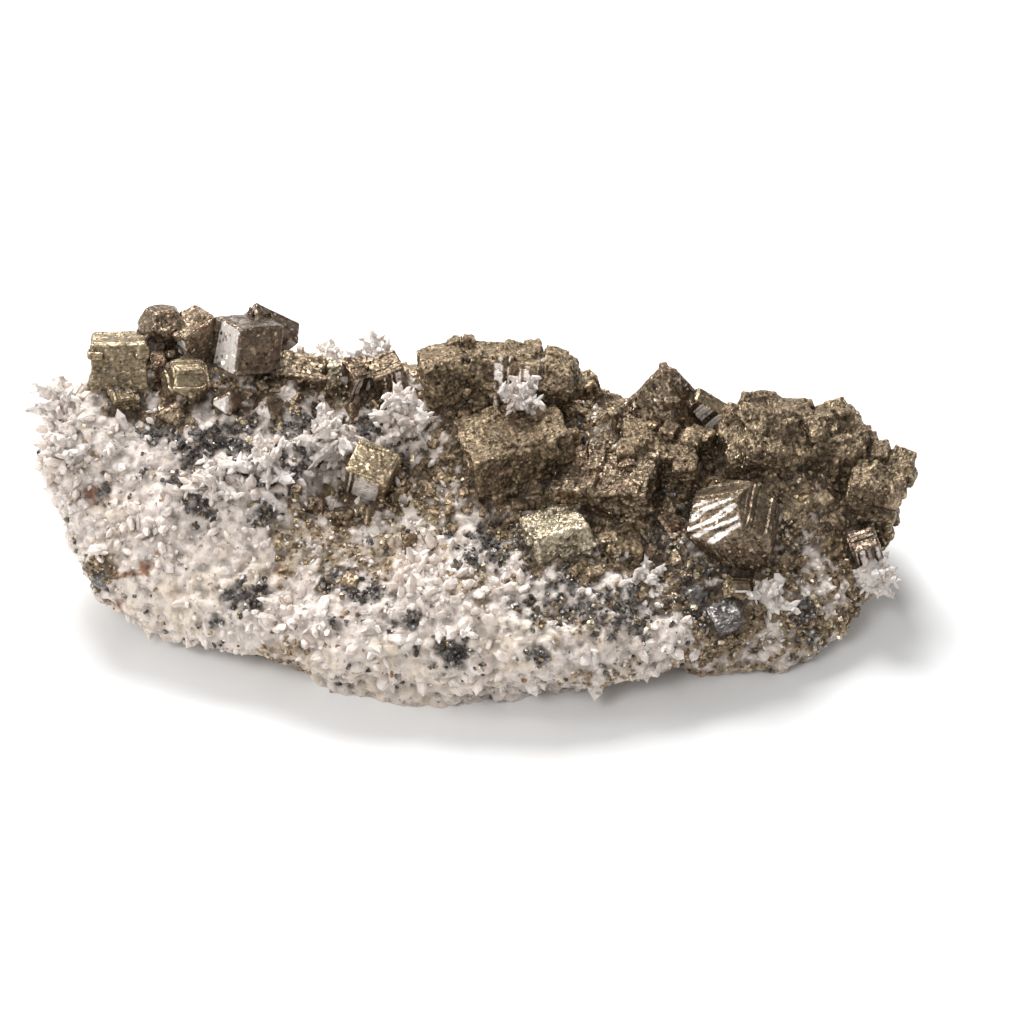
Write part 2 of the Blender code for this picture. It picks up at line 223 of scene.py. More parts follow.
def addStudio():
    deselectAll()
    bpy.ops.mesh.primitive_plane_add(size=studio["floorSize"], location=base)
    floor = bpy.context.object
    floor.name = "paleFloor"
    material = bpy.data.materials.new("paleFloor")
    material.use_nodes = True
    shader = material.node_tree.nodes["Principled BSDF"]
    shade = studio["floorShade"]
    shader.inputs["Base Color"].default_value = (shade, shade, shade, 1)
    shader.inputs["Roughness"].default_value = 0.9
    shader.inputs["Specular IOR Level"].default_value = 0.1
    floor.data.materials.append(material)
    for name, (place, size, power) in studio["lamps"].items():
        addLamp(name, place, size, power)
    world = bpy.data.worlds.new("paleRoom")
    bpy.context.scene.world = world
    world.use_nodes = True
    tree = world.node_tree
    tree.nodes.clear()
    place = tree.nodes.new("ShaderNodeTexCoord")
    split = tree.nodes.new("ShaderNodeSeparateXYZ")
    ramp = tree.nodes.new("ShaderNodeMapRange")
    light = tree.nodes.new("ShaderNodeBackground")
    out = tree.nodes.new("ShaderNodeOutputWorld")
    tree.links.new(place.outputs["Generated"], split.inputs[0])
    tree.links.new(split.outputs["Z"], ramp.inputs["Value"])
    ramp.inputs["From Min"].default_value = 0.0
    ramp.inputs["From Max"].default_value = 0.9
    ramp.inputs["To Min"].default_value = studio["worldFront"]
    ramp.inputs["To Max"].default_value = studio["worldTop"]
    tree.links.new(ramp.outputs["Result"], light.inputs["Color"])
    tree.links.new(light.outputs[0], out.inputs["Surface"])
    bpy.context.scene.view_settings.view_transform = "Standard"


addStudio()
print("studio ready")


def newFinish(name):
    material = bpy.data.materials.new(name)
    material.use_nodes = True
    tree = material.node_tree
    shader = tree.nodes["Principled BSDF"]
    return material, tree, shader


def addNode(tree, kind, inputs=None, **settings):
    made = tree.nodes.new(kind)
    for key, value in settings.items():
        setattr(made, key, value)
    for key, value in (inputs or {}).items():
        if isinstance(value, bpy.types.NodeSocket):
            tree.links.new(value, made.inputs[key])
        else:
            made.inputs[key].default_value = value
    return made


def inMillimetres(tree):
    place = addNode(tree, "ShaderNodeTexCoord")
    return addNode(tree, "ShaderNodeVectorMath", {0: place.outputs["Object"], 1: (1000, 1000, 1000)},
                   operation="MULTIPLY").outputs[0]


def noiseOf(tree, place, scale, detail=4.0, roughness=0.55, distortion=0.0):
    made = addNode(tree, "ShaderNodeTexNoise", {"Vector": place, "Scale": scale, "Detail": detail,
                                                "Roughness": roughness, "Distortion": distortion})
    return made.outputs["Fac"]


def rampOf(tree, value, stops):
    made = addNode(tree, "ShaderNodeValToRGB", {"Fac": value})
    ramp = made.color_ramp
    while len(ramp.elements) < len(stops):
        ramp.elements.new(0.5)
    for element, (position, colour) in zip(ramp.elements, stops):
        element.position = position
        element.color = (*colour, 1.0) if len(colour) == 3 else colour
    return made.outputs["Color"]


def rangeOf(tree, value, low, high, toLow, toHigh):
    made = addNode(tree, "ShaderNodeMapRange", {"Value": value, "From Min": low, "From Max": high,
                                                "To Min": toLow, "To Max": toHigh})
    return made.outputs["Result"]


def mixed(tree, share, first, second, blend="MIX"):
    made = addNode(tree, "ShaderNodeMix", data_type="RGBA", blend_type=blend)
    for socket, value in ((made.inputs[0], share), (made.inputs[6], first), (made.inputs[7], second)):
        if isinstance(value, bpy.types.NodeSocket):
            tree.links.new(value, socket)
        elif isinstance(value, (int, float)):
            socket.default_value = value
        else:
            socket.default_value = (*value, 1.0)
    return made.outputs[2]


def calculated(tree, operation, first, second=0.0):
    made = addNode(tree, "ShaderNodeMath", {0: first, 1: second}, operation=operation)
    return made.outputs[0]


def facetedNormal(tree, place, cells, lean, sparkLean):
    # every grain's face leans its own way, and a few lean far enough to glint on their own
    grains = addNode(tree, "ShaderNodeTexVoronoi", {"Vector": place, "Scale": cells})
    cell = addNode(tree, "ShaderNodeSeparateColor", {0: grains.outputs["Color"]})
    spark = rangeOf(tree, cell.outputs["Red"], 0.86, 0.91, 0, 1)
    centred = addNode(tree, "ShaderNodeVectorMath", {0: grains.outputs["Color"], 1: (0.5, 0.5, 0.5)},
                      operation="SUBTRACT")
    leaning = addNode(tree, "ShaderNodeVectorMath", {0: centred.outputs[0]}, operation="SCALE")
    tree.links.new(rangeOf(tree, spark, 0, 1, lean, sparkLean), leaning.inputs["Scale"])
    surface = addNode(tree, "ShaderNodeNewGeometry")
    summed = addNode(tree, "ShaderNodeVectorMath", {0: surface.outputs["Normal"], 1: leaning.outputs[0]},
                     operation="ADD")
    unit = addNode(tree, "ShaderNodeVectorMath", {0: summed.outputs[0]}, operation="NORMALIZE")
    return unit.outputs[0], cell.outputs["Green"], spark


def paintedHollowShadeRidgeLight(tree, colour, low, high, hollow, ridge):
    # painted shade and highlight: hollows are painted darker and ridges lighter than the rest of the surface,
    # by pointiness
    surface = addNode(tree, "ShaderNodeNewGeometry")
    scaled = addNode(tree, "ShaderNodeVectorMath", {0: colour}, operation="SCALE")
    edge = rangeOf(tree, surface.outputs["Pointiness"], low, high, hollow, ridge)
    tree.links.new(edge, scaled.inputs["Scale"])
    return scaled.outputs[0]


def bumped(tree, height, strength, distance, normal=None):
    made = addNode(tree, "ShaderNodeBump", {"Height": height, "Strength": strength, "Distance": distance})
    if normal is not None:
        tree.links.new(normal, made.inputs["Normal"])
    return made.outputs["Normal"]


pyriteTones = {
    # dark, middle and light colours, stain,
    # grain cells per mm, how far grains and glints lean, roughness range
    "striatedBrass": ((0.05, 0.037, 0.024), (0.255, 0.188, 0.115), (0.68, 0.56, 0.38), (0.13, 0.075, 0.05),
                      3.0, 0.25, 1.0, (0.28, 0.48)),
    "granularBrass": ((0.04, 0.029, 0.02), (0.158, 0.113, 0.072), (0.58, 0.455, 0.3), (0.125, 0.072, 0.048),
                      3.6, 0.60, 1.6, (0.44, 0.68)),
    "duskyBrass": ((0.034, 0.025, 0.018), (0.15, 0.109, 0.072), (0.56, 0.44, 0.29), (0.12, 0.072, 0.052),
                   3.6, 0.55, 1.5, (0.46, 0.70)),
    "oliveGrain": ((0.095, 0.078, 0.05), (0.54, 0.45, 0.30), (0.97, 0.88, 0.70), (0.25, 0.18, 0.11),
                   3.2, 0.75, 1.7, (0.30, 0.54)),
    "darkTarnish": ((0.032, 0.023, 0.016), (0.128, 0.091, 0.061), (0.52, 0.41, 0.28), (0.13, 0.06, 0.04),
                    3.0, 0.45, 1.4, (0.30, 0.52)),
    "brightBronze": ((0.05, 0.034, 0.025), (0.15, 0.108, 0.078), (0.50, 0.40, 0.30), (0.17, 0.075, 0.055),
                     2.2, 0.20, 0.8, (0.24, 0.44)),
}


# near-white colour of the painted glint on chosen crystal faces
paintedGlintTone = (0.95, 0.88, 0.82)


def pyriteFinish(name):
    dark, body, light, stain, cells, lean, sparkLean, (smooth, rough) = pyriteTones[name]
    material, tree, shader = newFinish(name)
    place = inMillimetres(tree)
    patches = noiseOf(tree, place, 0.38, 6, 0.66, 0.6)
    colour = rampOf(tree, patches, [(0.30, dark), (0.50, body), (0.76, light)])
    tarnish = rangeOf(tree, noiseOf(tree, place, 0.27, 4), 0.50, 0.70, 0, 0.65)
    colour = mixed(tree, tarnish, colour, stain)
    normal, grainTone, spark = facetedNormal(tree, place, cells, lean, sparkLean)
    colour = mixed(tree, 0.30, colour, mixed(tree, grainTone, dark, light))
    colour = mixed(tree, calculated(tree, "MULTIPLY", spark, 0.85), colour, light)
    # painted shade in the crystal's hollows and painted highlight on its ridges
    colour = paintedHollowShadeRidgeLight(tree, colour, 0.44, 0.56, 0.30, 1.45)
    # painted glint: chosen faces are mixed towards a near-white tone and made less metallic, so they read as
    # a bright reflection under any lamp; noise breaks the painted glint into patches
    paintedGlint = addNode(tree, "ShaderNodeAttribute", attribute_name="mirrorShare").outputs["Fac"]
    glintPatches = rangeOf(tree, noiseOf(tree, place, 0.9, 4), 0.68, 0.56, 0, 1)
    paintedGlint = calculated(tree, "MULTIPLY", paintedGlint, glintPatches)
    tree.links.new(mixed(tree, paintedGlint, colour, paintedGlintTone), shader.inputs["Base Color"])
    roughness = rangeOf(tree, noiseOf(tree, place, 1.6, 4), 0.35, 0.7, smooth, rough)
    shiny = calculated(tree, "MULTIPLY", calculated(tree, "ADD", spark, paintedGlint), -0.14)
    tree.links.new(calculated(tree, "ADD", roughness, shiny), shader.inputs["Roughness"])
    tree.links.new(rangeOf(tree, paintedGlint, 0, 1, 0.9, 0.35), shader.inputs["Metallic"])
    fine = noiseOf(tree, place, 5.0, 5, 0.65)
    tree.links.new(bumped(tree, fine, 0.4, 0.00007, normal), shader.inputs["Normal"])
    return material


def quartzFinish(name, tint, clear):
    material, tree, shader = newFinish(name)
    place = inMillimetres(tree)
    cloud = noiseOf(tree, place, 0.22, 5, 0.6)
    milky = rampOf(tree, cloud, [(0.30, tuple(c * 0.84 for c in tint)), (0.50, tint),
                                 (0.70, tuple(min(c * 1.10, 0.90) for c in tint))])
    dust = rangeOf(tree, noiseOf(tree, place, 1.1, 4), 0.60, 0.76, 0, 0.5)
    colour = mixed(tree, dust, milky, (0.36, 0.31, 0.27))
    warm = rangeOf(tree, noiseOf(tree, place, 0.13, 3), 0.52, 0.66, 0, 0.6)
    colour = mixed(tree, warm, colour, (0.86, 0.70, 0.60))
    normal, grainTone = facetedNormal(tree, place, 1.5, 0.75, 1.2)[:2]
    colour = mixed(tree, 0.30, colour, mixed(tree, grainTone, (0.50, 0.42, 0.37), (0.90, 0.83, 0.78)))
    # painted shade in the quartz hollows and painted highlight on its ridges
    tree.links.new(paintedHollowShadeRidgeLight(tree, colour, 0.44, 0.54, 0.72, 1.10), shader.inputs["Base Color"])
    shader.inputs["Roughness"].default_value = 0.38
    shader.inputs["Transmission Weight"].default_value = clear
    shader.inputs["IOR"].default_value = 1.54
    shader.inputs["Subsurface Weight"].default_value = 0.45
    shader.inputs["Subsurface Radius"].default_value = (1.0, 0.85, 0.75)
    shader.inputs["Subsurface Scale"].default_value = 0.0008
    grit = noiseOf(tree, place, 3.0, 4)
    tree.links.new(bumped(tree, grit, 0.4, 0.0001, normal), shader.inputs["Normal"])
    return material


def sphaleriteFinish(name):
    material, tree, shader = newFinish(name)
    place = inMillimetres(tree)
    tone = rampOf(tree, noiseOf(tree, place, 0.9, 4),
                  [(0.30, (0.030, 0.026, 0.024)), (0.52, (0.14, 0.125, 0.115)), (0.72, (0.48, 0.44, 0.41))])
    normal, _, spark = facetedNormal(tree, place, 2.4, 0.6, 1.5)
    glint = calculated(tree, "MULTIPLY", spark, 0.7)
    tree.links.new(mixed(tree, glint, tone, (0.55, 0.53, 0.52)), shader.inputs["Base Color"])
    shader.inputs["Metallic"].default_value = 0.6
    smear = noiseOf(tree, place, 2.2, 3)
    tree.links.new(rangeOf(tree, smear, 0.35, 0.7, 0.18, 0.42), shader.inputs["Roughness"])
    grit = noiseOf(tree, place, 5.0, 3)
    tree.links.new(bumped(tree, grit, 0.3, 0.00005, normal), shader.inputs["Normal"])
    return material


def rockFinish(name):
    material, tree, shader = newFinish(name)
    place = inMillimetres(tree)

    def zone(attributeName):
        return addNode(tree, "ShaderNodeAttribute", attribute_name=attributeName).outputs["Fac"]

    sugar = rampOf(tree, noiseOf(tree, place, 0.36, 6, 0.68, 0.4),
                   [(0.26, (0.36, 0.30, 0.26)), (0.40, (0.62, 0.54, 0.48)), (0.56, (0.79, 0.70, 0.64))])
    cream = rampOf(tree, noiseOf(tree, place, 0.4, 6, 0.66),
                   [(0.28, (0.52, 0.42, 0.32)), (0.46, (0.74, 0.63, 0.52)), (0.66, (0.82, 0.73, 0.64))])
    colour = mixed(tree, zone("creamShare"), sugar, cream)
    specks = rangeOf(tree, noiseOf(tree, place, 1.2, 4), 0.60, 0.68, 0, 0.75)
    colour = mixed(tree, specks, colour, (0.13, 0.105, 0.085))
    rust = rampOf(tree, noiseOf(tree, place, 0.9, 4),
                  [(0.35, (0.10, 0.042, 0.028)), (0.65, (0.34, 0.17, 0.095))])
    colour = mixed(tree, zone("rustShare"), colour, rust)
    tan = rampOf(tree, noiseOf(tree, place, 0.9, 5, 0.66),
                 [(0.34, (0.12, 0.085, 0.055)), (0.50, (0.36, 0.275, 0.19)), (0.68, (0.66, 0.55, 0.42))])
    colour = mixed(tree, zone("tanShare"), colour, tan)
    brassTone = rampOf(tree, noiseOf(tree, place, 0.7, 6, 0.68),
                       [(0.34, (0.040, 0.029, 0.021)), (0.52, (0.155, 0.115, 0.080)),
                        (0.72, (0.42, 0.34, 0.24))])
    colour = mixed(tree, zone("brassShare"), colour, brassTone)
    darkTone = rampOf(tree, noiseOf(tree, place, 1.0, 4),
                      [(0.32, (0.025, 0.020, 0.018)), (0.55, (0.13, 0.112, 0.10)),
                       (0.74, (0.42, 0.38, 0.35))])
    colour = mixed(tree, zone("darkShare"), colour, darkTone)
    # painted shade in the rock's hollows and painted highlight on its ridges
    tree.links.new(paintedHollowShadeRidgeLight(tree, colour, 0.43, 0.52, 0.50, 1.08), shader.inputs["Base Color"])
    darkMetal = calculated(tree, "MULTIPLY", zone("darkShare"), 0.6)
    metal = calculated(tree, "MAXIMUM", zone("brassShare"), darkMetal)
    tree.links.new(calculated(tree, "MULTIPLY", metal, 0.75), shader.inputs["Metallic"])
    tree.links.new(rangeOf(tree, metal, 0, 1, 0.66, 0.40), shader.inputs["Roughness"])
    normal = facetedNormal(tree, place, 1.7, 0.55, 1.1)[0]
    grit = noiseOf(tree, place, 2.0, 6, 0.7)
    tree.links.new(bumped(tree, grit, 0.8, 0.0004, normal), shader.inputs["Normal"])
    tree.links.new(rangeOf(tree, metal, 0, 1, 0.35, 0.0), shader.inputs["Subsurface Weight"])
    shader.inputs["Subsurface Radius"].default_value = (1.0, 0.85, 0.75)
    shader.inputs["Subsurface Scale"].default_value = 0.0010
    return material


finishes = {name: pyriteFinish(name) for name in pyriteTones}
finishes["quartz"] = quartzFinish("clearerQuartz", (0.74, 0.665, 0.61), 0.06)
finishes["druse"] = quartzFinish("druseQuartz", (0.78, 0.69, 0.625), 0.02)
finishes["sphalerite"] = sphaleriteFinish("darkSphalerite")
finishes["rock"] = rockFinish("sugaryRock")
print("finishes ready:", len(finishes))


rock = {
    "voxel": 0.40,
    "crystalSwell": 0.25,
    "easeRounds": 9,
    # name, texture, size and height in mm
    "relief": (("lumps", "CLOUDS", 3.4, 1.7), ("pits", "VORONOI", 1.9, -0.9), ("grit", "CLOUDS", 0.9, 0.5)),
    "kept": 0.68,
    "seatHeight": 0.35,
    "crustReach": (1.3, 3.2),
    "crustBorders": (-7, 22),
    "grainlessFoot": (0.8, 1.5),
    "clearAroundCrystals": (0.30, 0.4),
    "sunkUnderCrystals": 0.5,
    # zone: spots of (x, rise, half width, half height) in mm, the rise measured up the camera's view plane
    "rustShare": ((-48.5, 11.7, 2.0, 1.8), (-45.6, 1.3, 1.2, 0.3), (-43.6, 1.5, 1.2, 0.32),
                  (-42, 2.7, 1.1, 1.3), (-40.6, 4.2, 0.9, 0.5), (-46, -3.5, 2.4, 1.6), (-24, 2, 1.4, 1)),
    "creamShare": ((-40, -2.5, 9, 5.5), (-31, 1, 7, 4), (-47, 3, 5, 5), (-6, -11, 9, 5), (-26, -12, 12, 4.5),
                   (4, -8, 8, 5), (-46, 9, 4, 4), (18, -6, 6, 2.5)),
    "tanShare": ((45, -9, 7, 5), (36, -8, 5, 3), (14, -4, 5, 2.4), (53.5, 2.5, 5.5, 6.5),
                 (34, -11.5, 10, 4), (18, -12.8, 5, 2.8), (-20, 6, 6, 5), (-7, 8, 5, 4),
                 (-51.5, 16.5, 3.2, 2.2), (-23, -9, 5, 2), (-12, 3, 4, 2.5), (0, 0.5, 5, 2.5),
                 (44, -4, 6, 4)),
    "darkShare": ((4, 14.5, 3.8, 3.3), (3.5, 5.5, 6.0, 2.8), (14, 1, 4.2, 3.6), (15.7, 22, 2.2, 3.4),
                  (23, 8, 4, 6), (27.5, 8.5, 3.6, 6.5), (32, 1, 5, 4.5), (23, -1, 4, 3), (45, -6, 2.4, 4),
                  (-2, -8.8, 4.2, 2.2), (-14, -0.4, 4.6, 2.2), (-41, 19.5, 2.4, 1.8), (-36, 17.5, 3.4, 2.6),
                  (-30, 19.5, 3.4, 3.8), (-31, 14.5, 2.2, 1.6), (-39, 14, 1.6, 1.4), (-20.5, 17.5, 2.2, 2.0),
                  (-24.5, 12.5, 2.4, 1.4), (-14, 21, 2.6, 2.2), (-27, 9, 2.4, 1.4), (8, -3, 3.4, 1.8),
                  (20, -5, 3.4, 1.6), (-8, -4.5, 2.6, 1.5), (-33, -4.5, 1.6, 1.2), (9, -8.5, 2.2, 1.2),
                  (-26, 16.8, 2.4, 1.8), (-35, 10.3, 2.4, 2.0), (-48, 12.5, 1.2, 1.6),
                  (13, -1.5, 5.5, 3.4), (19, -3, 5, 3.2), (28, -1.5, 5, 3.6), (31, -4, 3.4, 2.6),
                  (-34, 18.8, 5, 2.2), (-28, 21, 4, 2), (-29.5, 17, 4.4, 2.2), (-25, 15.5, 3.4, 2.2),
                  (-29, -1.2, 3.6, 1.5), (-22, 21, 3, 2.4), (-9, 17.5, 2.6, 2.2), (41, 6, 4, 3)),
    "bladeShare": ((-56, 26, 5, 5.5), (-45, 21.5, 9, 3.4), (-31, 15, 9, 6), (-17, 17, 7, 7), (-7, 23, 5, 4.5),
                   (-44, 7, 5.5, 4), (-23, -4, 6, 4), (-1, -9, 12, 6), (7, 1.5, 4, 2.2), (4.5, -14, 4, 2.5),
                   (31, -5, 7, 4), (22, -11, 8, 3.5), (-5, 2, 7, 4), (-52, 15, 3, 6)),
    "brassShare": ((-4, 13.5, 5, 4.2), (-18, 10.5, 5, 3), (34, 18, 30, 13), (8, 24, 14, 9), (50, 9, 13, 9),
                   (-31, 33, 25, 8.5), (-13, 27, 5, 5), (20, 13, 8, 6), (40, 0, 8, 5), (47, -3, 6, 4)),
}


def noiseField(places, grain, shift, octaves=4):
    offset = Vector(shift)
    return np.array([noise.fractal(Vector(p) / grain + offset, 1.0, 2.0, octaves) for p in places])


def zoneShare(places, spots, wobble, soft=1.8):
    side = places[:, 0]
    rise = places[:, 1] * upward.y + places[:, 2] * upward.z
    share = np.zeros(len(places))
    for x, height, halfWidth, halfHeight in spots:
        away = np.hypot((side - x) / halfWidth, (rise - height) / halfHeight)
        share = np.maximum(share, np.clip(1.9 - away, 0, 1.4))
    return np.clip((share - 0.9 + wobble * 0.8) * soft, 0, 1)


def nearestOn(places, wanted):
    # distance, place and outward normal of the nearest point on the CAD bodies that are wanted
    corners = []
    faces = []
    for node in frame["nodes"]:
        if wanted(node):
            source = frame["nodes"][node]
            start = len(corners)
            corners += [source.matrix_world @ v.co for v in source.data.vertices]
            faces += [[start + i for i in polygon.vertices] for polygon in source.data.polygons]
    tree = BVHTree.FromPolygons(corners, faces)
    found = [tree.find_nearest(Vector(p)) for p in places]
    return tuple(np.array([f[column] for f in found]) for column in (3, 0, 1))


def isCrystal(node):
    return node.startswith(("pyrite_", "sphalerite_"))


def addRock():
    parts = []
    for node in frame["nodes"]:
        if not node.startswith("quartz_"):
            part = copyOfNode(node, "rockPart")
            swell = part.modifiers.new("swell", "DISPLACE")
            swell.strength = rock["crystalSwell"] * mm
            swell.mid_level = 0.0
            parts.append(applyModifiers(part))
    deselectAll()
    for part in parts:
        part.select_set(True)
    bpy.context.view_layer.objects.active = parts[0]
    bpy.ops.object.join()
    piece = bpy.context.object
    piece.name = "matrixRock"
    remeshed(piece, rock["voxel"])
    ease = piece.modifiers.new("ease", "SMOOTH")
    ease.factor = 0.5
    ease.iterations = rock["easeRounds"]
    for row in rock["relief"]:
        roughened(piece, *row)
    applyModifiers(piece)
    thinned = piece.modifiers.new("thinned", "DECIMATE")
    thinned.ratio = rock["kept"]
    applyModifiers(piece)
    places = verticesOf(piece.data)
    # what hangs near the floor is pressed flat, so that the rock sits on it
    seat = base.z + rock["seatHeight"] * mm
    places[:, 2] = np.where(places[:, 2] < seat, base.z + (places[:, 2] - base.z) * 0.2, places[:, 2])
    places[:, 2] = np.maximum(places[:, 2], base.z)
    writeVertices(piece.data, places)
    return piece


def writeZones(piece):
    places = verticesOf(piece.data)
    inMm = (places - np.array(base)) / mm
    broad = noiseField(inMm, 3.6, (7, 3, 5))
    fine = noiseField(inMm, 1.3, (1, 9, 4), 3)
    shares = {}
    zoneNames = ("rustShare", "creamShare", "tanShare", "darkShare", "brassShare", "bladeShare")
    for number, zoneName in enumerate(zoneNames):
        wobble = (broad if number % 2 else -broad) * 1.0 + fine * 1.1
        shares[zoneName] = zoneShare(inMm, rock[zoneName], wobble)
    near, far = rock["crustReach"]
    reach = near + (far - near) * np.clip((inMm[:, 0] + 20) / 40, 0, 1)
    away, crystalPlace, crystalNormal = nearestOn(places, isCrystal)
    away = away / mm
    toRock = nearestOn(places, lambda node: node == "matrix")[0] / mm
    overCrystal = np.clip((toRock - away - 0.15) / 0.45, 0, 1)
    crust = np.clip((reach * (1 + broad * 1.2 + fine * 0.8) - away) * 1.4, 0, 1)
    gap, fade = rock["clearAroundCrystals"]
    clear = np.clip((away - gap) / fade, 0, 1) * (1 - overCrystal)
    shares["brassShare"] = np.maximum(shares["brassShare"], crust)
    shares["darkShare"] *= np.clip(1.2 - crust * 0.5, 0, 1)
    for zoneName, values in shares.items():
        writeValues(piece.data, zoneName, values)
    foot, rising = rock["grainlessFoot"]
    above = np.clip((inMm[:, 2] - foot) / rising, 0, 1) * clear
    covered = np.maximum.reduce([shares["brassShare"], shares["darkShare"], shares["rustShare"]])
    bare = np.clip(1.0 - covered * 1.1, 0, 1)
    drusy = bare * np.clip(0.45 + broad * 2.2 - 1.1 * shares["creamShare"] - 0.7 * shares["tanShare"], 0, 1)
    rise = inMm[:, 1] * upward.y + inMm[:, 2] * upward.z
    lower = np.clip((rise + 10 + 3 * broad) / 6, 0.12, 1)
    drusy *= lower
    writeValues(piece.data, "druseShare", drusy * above)
    sugary = np.clip(bare * (0.10 + fine * 1.3 - 0.3 * shares["creamShare"]), 0, 1)
    writeValues(piece.data, "sugarShare", sugary * above)
    bladed = np.clip(shares["bladeShare"] * 1.3, 0, 1) * np.clip(1.1 - shares["brassShare"] * 1.2, 0, 1)
    bladed *= np.clip(1.0 - shares["darkShare"] * 1.5, 0, 1) * lower
    writeValues(piece.data, "bladedShare", bladed * above)
    scattered = np.clip(fine * 1.2 - broad * 1.2 - 0.55, 0, 0.16) * bare
    writeValues(piece.data, "darkGrainShare", np.clip(shares["darkShare"] + scattered, 0, 1) * above)
    brassy = np.clip(shares["brassShare"] * 0.8 + 0.6 * shares["tanShare"] + 0.25 * shares["darkShare"]
                     + fine * 0.3 - 0.1, 0, 1)
    writeValues(piece.data, "brassGrainShare", np.maximum(brassy, scattered * 0.5) * above)
    massive = np.clip(shares["brassShare"] * 1.4 - 0.4, 0, 1) * above * np.clip((away - 0.7) / 1.2, 0, 1)
    side = inMm[:, 0]
    first, second = rock["crustBorders"]
    writeValues(piece.data, "crustLeft", massive * (side < first))
    writeValues(piece.data, "crustMiddle", massive * (side >= first) * (side < second))
    writeValues(piece.data, "crustRight", massive * (side >= second))
    # over a crystal the skin sinks below the crystal's own face
    hidden = crystalPlace - crystalNormal * rock["sunkUnderCrystals"] * mm
    writeVertices(piece.data, places + (hidden - places) * overCrystal[:, None])


matrixRock = addRock()
writeZones(matrixRock)
print("rock:", len(matrixRock.data.polygons), "faces")


pyriteCrystals = {
    # node: (turn about X, Y and Z in degrees, finish, habit, axes that the steps climb along)
    "pyrite_cube_left_end": ((-22, 3, 7), "striatedBrass", "plain", "zzy"),
    "pyrite_chip_left_end": ((10, 8, 18), "striatedBrass", "plain", "zzx"),
    "pyrite_grain_between_cubes": ((6, -8, 12), "darkTarnish", "plain", "zxy"),
    "pyrite_dome": ((10, 12, 20), "darkTarnish", "smooth", "zxy"),
    "pyrite_wedge_left": ((-6, -10, 38), "darkTarnish", "plain", "zxy"),
    "pyrite_dodecahedron_left": ((18, 8, 14), "striatedBrass", "striped", "zxy"),
    "pyrite_orange_foot": ((10, 20, 30), "darkTarnish", "plain", "zxy"),
    "pyrite_bright_block": ((-20, -14, -56), "brightBronze", "bright", "zxy"),
    "pyrite_tilted_bar": ((12, 38, 0), "brightBronze", "bright", "zxy"),
    "pyrite_slab_dark": ((16, 6, -8), "darkTarnish", "plain", "zxy"),
    "pyrite_triangle_left": ((24, 10, 10), "brightBronze", "bright", "zxy"),
    "pyrite_triangle_right": ((20, -8, 24), "brightBronze", "bright", "zxy"),
    "pyrite_grain_saddle": ((12, 14, 6), "oliveGrain", "granular", "zxy"),
    "pyrite_cube_saddle_a": ((14, 12, 32), "darkTarnish", "plain", "zxy"),
    "pyrite_cube_saddle_b": ((6, -10, 22), "darkTarnish", "plain", "zxy"),
    "pyrite_striped_cube": ((18, 14, -24), "striatedBrass", "striped", "zxy"),
    "pyrite_crown_left_lobe": ((-14, -6, 14), "granularBrass", "granular", "zxy"),
    "pyrite_crown_block": ((-16, 2, -4), "granularBrass", "granular", "zxy"),
    "pyrite_crown_right_lobe": ((8, 10, -16), "granularBrass", "granular", "zxy"),
    "pyrite_great_cube": ((-3, -6, 17), "granularBrass", "crusted", "zxy"),
    "pyrite_granular_cube": ((-16, -5, 16), "oliveGrain", "granular", "zxy"),
    "pyrite_long_block": ((-4, -7, -15), "darkTarnish", "crusted", "zxy"),
    "pyrite_column": ((8, 4, 4), "granularBrass", "granular", "zxy"),
    "pyrite_cube_small_middle": ((16, 10, 8), "granularBrass", "plain", "zxy"),
    "pyrite_peak": ((-4, 5, 12), "darkTarnish", "plain", "zxy"),
    "pyrite_peak_blade": ((10, 36, -10), "striatedBrass", "striped", "zxy"),
    "pyrite_shoulder_block": ((-8, 5, -10), "granularBrass", "crusted", "zxy"),
    "pyrite_striated_dodecahedron": ((12, -26, -14), "darkTarnish", "striped", "zxy"),
    "pyrite_dodecahedron_foot": ((10, 20, 12), "striatedBrass", "plain", "zxy"),
    "pyrite_ridge_block": ((8, 14, 12), "duskyBrass", "crusted", "zxy"),
    "pyrite_ridge_shoulder": ((0, -10, 24), "duskyBrass", "crusted", "zxy"),
    "pyrite_right_end": ((4, 6, -14), "duskyBrass", "crusted", "zxy"),
    "pyrite_gilt_chip": ((12, -18, 14), "brightBronze", "striped", "zxy"),
    "pyrite_hollow_cube_a": ((22, 14, 36), "darkTarnish", "plain", "zxy"),
    "pyrite_hollow_cube_b": ((10, -20, 10), "darkTarnish", "plain", "zxy"),
    "pyrite_back_left": ((-20, 12, 30), "striatedBrass", "plain", "zxy"),
    "pyrite_back_saddle": ((-28, 14, 24), "granularBrass", "granular", "zxy"),
    "pyrite_back_middle": ((-24, -10, 36), "granularBrass", "granular", "zxy"),
    "pyrite_back_right": ((-22, 16, -12), "striatedBrass", "plain", "zxy"),
}


def markAsGrain(piece):
    piece.hide_render = True
    return piece


def stepBlock():
    deselectAll()
    bpy.ops.mesh.primitive_cube_add(size=1.0 * mm, location=(0, 0, 0))
    piece = bpy.context.object
    piece.name = "stepBlock"
    bpy.ops.object.mode_set(mode="EDIT")
    bpy.ops.mesh.bevel(offset=0.08 * mm, segments=1)
    bpy.ops.object.mode_set(mode="OBJECT")
    return markAsGrain(piece)


def randomVector(tree, low, high, seed):
    made = addNode(tree, "FunctionNodeRandomValue", data_type="FLOAT_VECTOR")
    made.inputs[0].default_value = low
    made.inputs[1].default_value = high
    made.inputs["Seed"].default_value = seed
    return made.outputs[0]


